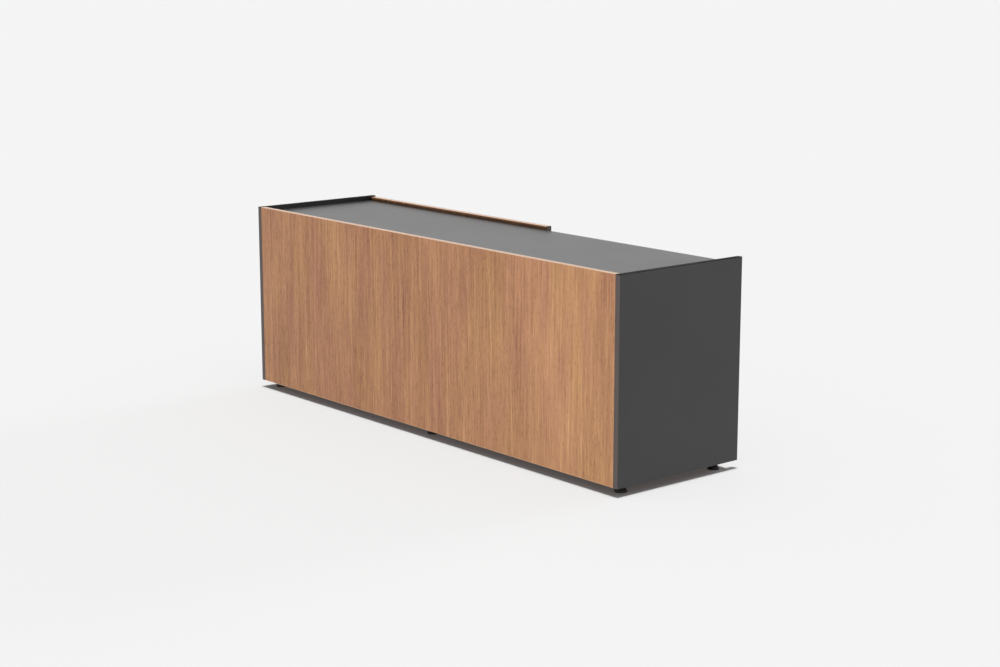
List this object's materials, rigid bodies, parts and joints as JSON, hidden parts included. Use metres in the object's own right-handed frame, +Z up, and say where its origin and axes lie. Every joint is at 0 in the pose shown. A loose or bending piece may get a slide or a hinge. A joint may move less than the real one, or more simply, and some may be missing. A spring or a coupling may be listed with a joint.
{
  "type": "sideboard",
  "caption": "Low office sideboard with dark end panels, a veneered back, a recessed top, open compartments and a veneered sliding door on hidden rollers.",
  "frame": {"origin": "centre of the footprint, on the floor", "axes": "+X to the right seen from the door side, +Y towards the veneered back, +Z up"},
  "size_m": [1.6, 0.432, 0.562],
  "materials": {
    "graphite_board": "matt graphite melamine on chipboard",
    "graphite_edging": "satin graphite plastic edging",
    "walnut_veneer": "satin lacquered walnut-toned veneer",
    "walnut_edging": "satin lacquered veneer edging",
    "zinc_plated_steel": "zinc plated",
    "zinc_casting": "matt die casting",
    "beech": "plain beech",
    "anodised_aluminium": "natural anodised",
    "graphite_aluminium": "dark anodised",
    "black_rubber": "matt",
    "black_nylon": "moulded, fine grain",
    "pale_nylon": "moulded, smooth"
  },
  "bodies": {
    "carcass": {"left_end_panel": "graphite_board", "right_end_panel": "graphite_board", "left_end_edging": "graphite_edging", "right_end_edging": "graphite_edging", "top_board": "graphite_board", "top_board_edging": "graphite_edging", "bottom_board": "graphite_board", "bottom_board_edging": "graphite_edging", "centre_partition": "graphite_board", "centre_partition_edging": "graphite_edging", "left_shelf": "graphite_board", "right_shelf": "graphite_board", "left_shelf_edging": "graphite_edging", "right_shelf_edging": "graphite_edging", "back_panel": "walnut_veneer", "back_panel_edging": "walnut_edging", "shelf_pins": "zinc_plated_steel", "cam_fittings": "zinc_casting", "cam_bolts": "zinc_plated_steel", "wood_dowels": "beech", "bottom_track": "anodised_aluminium", "bottom_track_screws": "zinc_plated_steel", "top_track": "anodised_aluminium", "door_buffers": "black_rubber", "foot_sockets": "zinc_plated_steel"},
    "sliding_door": {"door_panel": "walnut_veneer", "door_edging": "walnut_edging", "left_grip_profile": "graphite_aluminium", "right_grip_profile": "graphite_aluminium", "left_carriage": "zinc_casting", "right_carriage": "zinc_casting", "carriage_screws": "zinc_plated_steel", "roller_axles": "zinc_plated_steel", "left_guide": "black_nylon", "right_guide": "black_nylon", "guide_screws": "zinc_plated_steel"},
    "left_roller": {"left_roller": "pale_nylon"},
    "right_roller": {"right_roller": "pale_nylon"},
    "front_left_foot": {"front_left_foot_pad": "black_nylon", "front_left_foot_stem": "zinc_plated_steel"},
    "front_middle_foot": {"front_middle_foot_pad": "black_nylon", "front_middle_foot_stem": "zinc_plated_steel"},
    "front_right_foot": {"front_right_foot_pad": "black_nylon", "front_right_foot_stem": "zinc_plated_steel"},
    "back_left_foot": {"back_left_foot_pad": "black_nylon", "back_left_foot_stem": "zinc_plated_steel"},
    "back_middle_foot": {"back_middle_foot_pad": "black_nylon", "back_middle_foot_stem": "zinc_plated_steel"},
    "back_right_foot": {"back_right_foot_pad": "black_nylon", "back_right_foot_stem": "zinc_plated_steel"}
  },
  "joints": [
    {"name": "door_slide", "type": "slide", "parent": "carcass", "child": "sliding_door", "axis": [-1, 0, 0], "range_m": [0, 0.718]},
    {"name": "left_roller_spin", "type": "hinge", "parent": "sliding_door", "child": "left_roller", "pos_m": [0.027, -0.177, 0.0449], "axis": [0, -1, 0], "continuous": true},
    {"name": "right_roller_spin", "type": "hinge", "parent": "sliding_door", "child": "right_roller", "pos_m": [0.691, -0.177, 0.0449], "axis": [0, -1, 0], "continuous": true},
    {"name": "front_left_levelling", "type": "slide", "parent": "carcass", "child": "front_left_foot", "axis": [0, 0, -1], "range_m": [0, 0.008]},
    {"name": "front_middle_levelling", "type": "slide", "parent": "carcass", "child": "front_middle_foot", "axis": [0, 0, -1], "range_m": [0, 0.008]},
    {"name": "front_right_levelling", "type": "slide", "parent": "carcass", "child": "front_right_foot", "axis": [0, 0, -1], "range_m": [0, 0.008]},
    {"name": "back_left_levelling", "type": "slide", "parent": "carcass", "child": "back_left_foot", "axis": [0, 0, -1], "range_m": [0, 0.008]},
    {"name": "back_middle_levelling", "type": "slide", "parent": "carcass", "child": "back_middle_foot", "axis": [0, 0, -1], "range_m": [0, 0.008]},
    {"name": "back_right_levelling", "type": "slide", "parent": "carcass", "child": "back_right_foot", "axis": [0, 0, -1], "range_m": [0, 0.008]}
  ],
  "couplings": [
    {"joint": "left_roller_spin", "follows": "door_slide", "rad_per_m": 90.909},
    {"joint": "right_roller_spin", "follows": "door_slide", "rad_per_m": 90.909}
  ]
}
